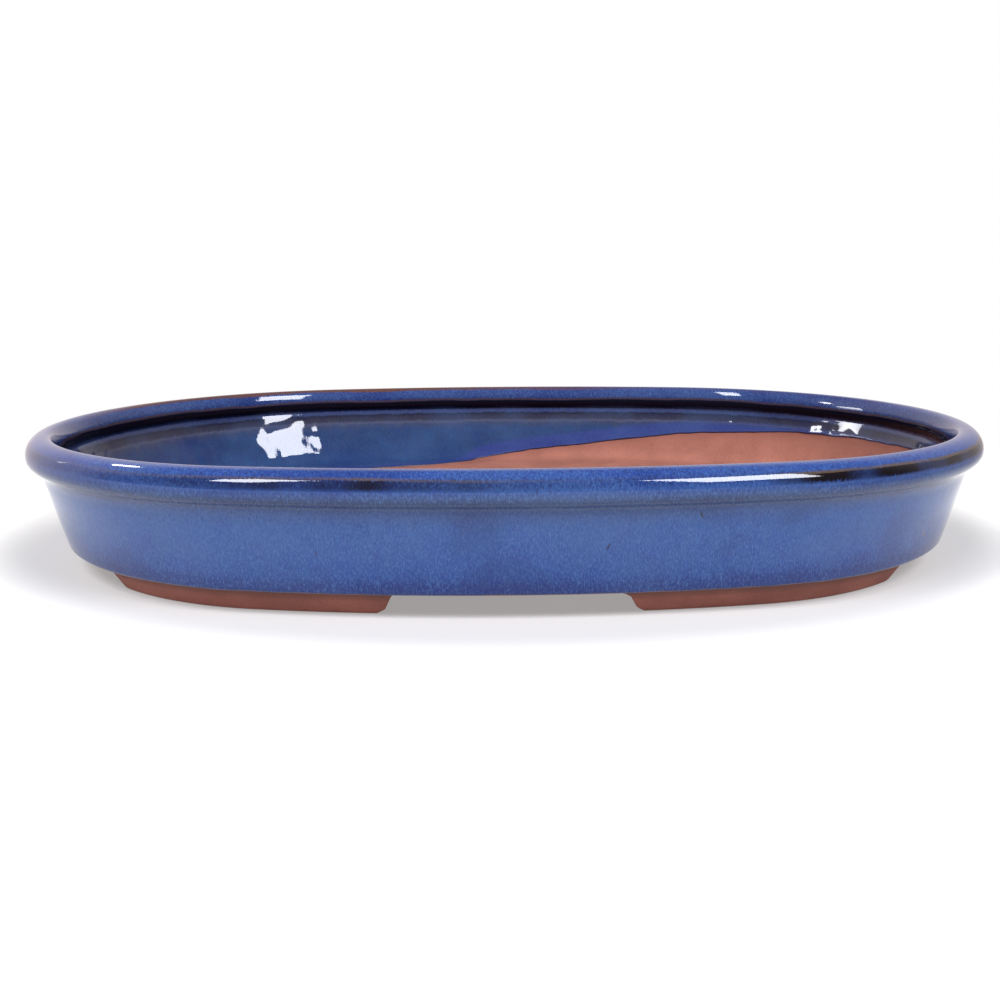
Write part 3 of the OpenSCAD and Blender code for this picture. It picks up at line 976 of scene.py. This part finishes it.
def place_backdrop():
    bpy.ops.mesh.primitive_uv_sphere_add(segments=48, ring_count=24, radius=12)
    backdrop = bpy.context.object
    backdrop.name = "Backdrop"
    backdrop.data.materials.append(backdrop_material())
    for kind_of_ray in ("diffuse", "glossy", "transmission", "volume_scatter", "shadow"):
        setattr(backdrop, "visible_" + kind_of_ray, False)


place_table()
place_backdrop()

# ---- camera ----
VIEW_AZIMUTH = math.radians(-0.734)
VIEW_ELEVATION = math.radians(11.979)
VIEW_ROLL = math.radians(-0.35)
VIEW_DISTANCE = 592.3 * MM
VIEW_LENS = 38.05
VIEW_SIDE = 0.53 * MM
VIEW_HEIGHT = 20.5 * MM
VIEW_SHIFT = -0.0067


def place_camera():
    flat = math.cos(VIEW_ELEVATION)
    back = Vector((math.sin(VIEW_AZIMUTH) * flat, -math.cos(VIEW_AZIMUTH) * flat, math.sin(VIEW_ELEVATION)))
    right = Vector((math.cos(VIEW_AZIMUTH), math.sin(VIEW_AZIMUTH), 0))
    up = back.cross(right)
    turn_c, turn_s = math.cos(VIEW_ROLL), math.sin(VIEW_ROLL)
    right, up = turn_c * right + turn_s * up, turn_c * up - turn_s * right
    camera = bpy.data.objects.new("Camera", bpy.data.cameras.new("Camera"))
    bpy.context.scene.collection.objects.link(camera)
    camera.matrix_world = Matrix((right, up, back)).transposed().to_4x4()
    camera.location = right * VIEW_SIDE + Vector((0, 0, VIEW_HEIGHT)) + back * VIEW_DISTANCE
    camera.data.lens = VIEW_LENS
    camera.data.sensor_width = 36
    camera.data.shift_x = VIEW_SHIFT
    camera.data.clip_start = 0.01
    bpy.context.scene.camera = camera


place_camera()

# ---- light: a room that is white behind the pot, two softboxes, two soft fills and two small cards ----
PAPER_FULL_TO = math.radians(30)
PAPER_TOP = math.radians(56)
FRONT_GLOW_TO = math.radians(4)
FRONT_DARK_FROM = math.radians(9)
ROOM_TINT = (0.95, 0.84, 0.84, 1)
# The room's brightness on the right, as a share of the rest.
RIGHT_SHARE = 0.5


def build_room():
    world = bpy.data.worlds.new("Studio")
    bpy.context.scene.world = world
    world.use_nodes = True
    nodes, links = world.node_tree.nodes, world.node_tree.links
    direction = nodes.new("ShaderNodeTexCoord").outputs["Generated"]
    split = nodes.new("ShaderNodeSeparateXYZ")
    links.new(direction, split.inputs[0])
    height = nodes.new("ShaderNodeMath")
    height.operation = "ARCSINE"
    links.new(split.outputs["Z"], height.inputs[0])

    def step(value, *limits):
        made = nodes.new("ShaderNodeMapRange")
        made.interpolation_type = "SMOOTHSTEP"
        links.new(value, made.inputs["Value"])
        for name, limit in zip(("From Min", "From Max", "To Min", "To Max"), limits):
            made.inputs[name].default_value = limit
        return made.outputs[0]

    back = step(height.outputs[0], PAPER_FULL_TO, PAPER_TOP, 1.0, 0.08)
    front = step(height.outputs[0], FRONT_GLOW_TO, FRONT_DARK_FROM, 1.0, 0.08)
    blend = nodes.new("ShaderNodeMix")
    links.new(step(split.outputs["Y"], -0.25, 0.2, 0.0, 1.0), blend.inputs[0])
    links.new(front, blend.inputs[2])
    links.new(back, blend.inputs[3])
    strength = nodes.new("ShaderNodeMath")
    strength.operation = "MULTIPLY"
    links.new(blend.outputs[0], strength.inputs[0])
    links.new(step(split.outputs["X"], 0.2, 0.8, 1.0, RIGHT_SHARE), strength.inputs[1])
    links.new(strength.outputs[0], nodes["Background"].inputs["Strength"])
    nodes["Background"].inputs["Color"].default_value = ROOM_TINT


def softbox(name, place, width, height, radiance, lights_up=True, shows=True, aim=(0, 0, 0), spread=None):
    """A rectangular light facing its aim, with its brightness as radiance.

    Without lights_up it only shows in reflections, as a bright card does; without shows it is a soft fill.
    With a spread, in degrees, a grid in front of it keeps its light within that angle.
    """
    lamp = bpy.data.lights.new(name, "AREA")
    lamp.shape = "RECTANGLE"
    lamp.size, lamp.size_y = width, height
    lamp.energy = 4 * width * height * radiance
    if spread:
        lamp.spread = math.radians(spread)
        half = lamp.spread / 2
        lamp.energy *= 1 - half / math.tan(half)
    light = bpy.data.objects.new(name, lamp)
    light.location = place
    light.visible_diffuse = lights_up
    light.visible_glossy = shows
    light.rotation_euler = (Vector(place) - Vector(aim)).to_track_quat("Z", "Y").to_euler()
    bpy.context.scene.collection.objects.link(light)


def seen_from_pot(azimuth, elevation, distance):
    """A place in that direction from the pot: azimuth is from the front towards the right."""
    azimuth, elevation = math.radians(azimuth), math.radians(elevation)
    flat = distance * math.cos(elevation)
    return flat * math.sin(azimuth), -flat * math.cos(azimuth), distance * math.sin(elevation)


build_room()
softbox("SoftboxRight", seen_from_pot(41, 44.8, 3), 1.0, 0.98, 15)
softbox("SoftboxLeft", seen_from_pot(-45, 49, 3), 0.4, 0.79, 15)
softbox("FillRight", seen_from_pot(38, 48, 3), 1.2, 1.2, 6, shows=False)
softbox("FillLeft", seen_from_pot(-30, 48, 3), 1.2, 1.2, 15, shows=False)
softbox("SmallPanel", (-0.458, 0.126, 0.42), 0.06, 0.06, 18, lights_up=False)
SIDE_PANEL_AIM = (0.19, 0.08, 0.045)
softbox("SidePanel", (-0.718, 0.291, 0.35), 0.24, 0.14, 17, lights_up=False, aim=SIDE_PANEL_AIM, spread=34)
bpy.context.scene.view_settings.view_transform = "Standard"
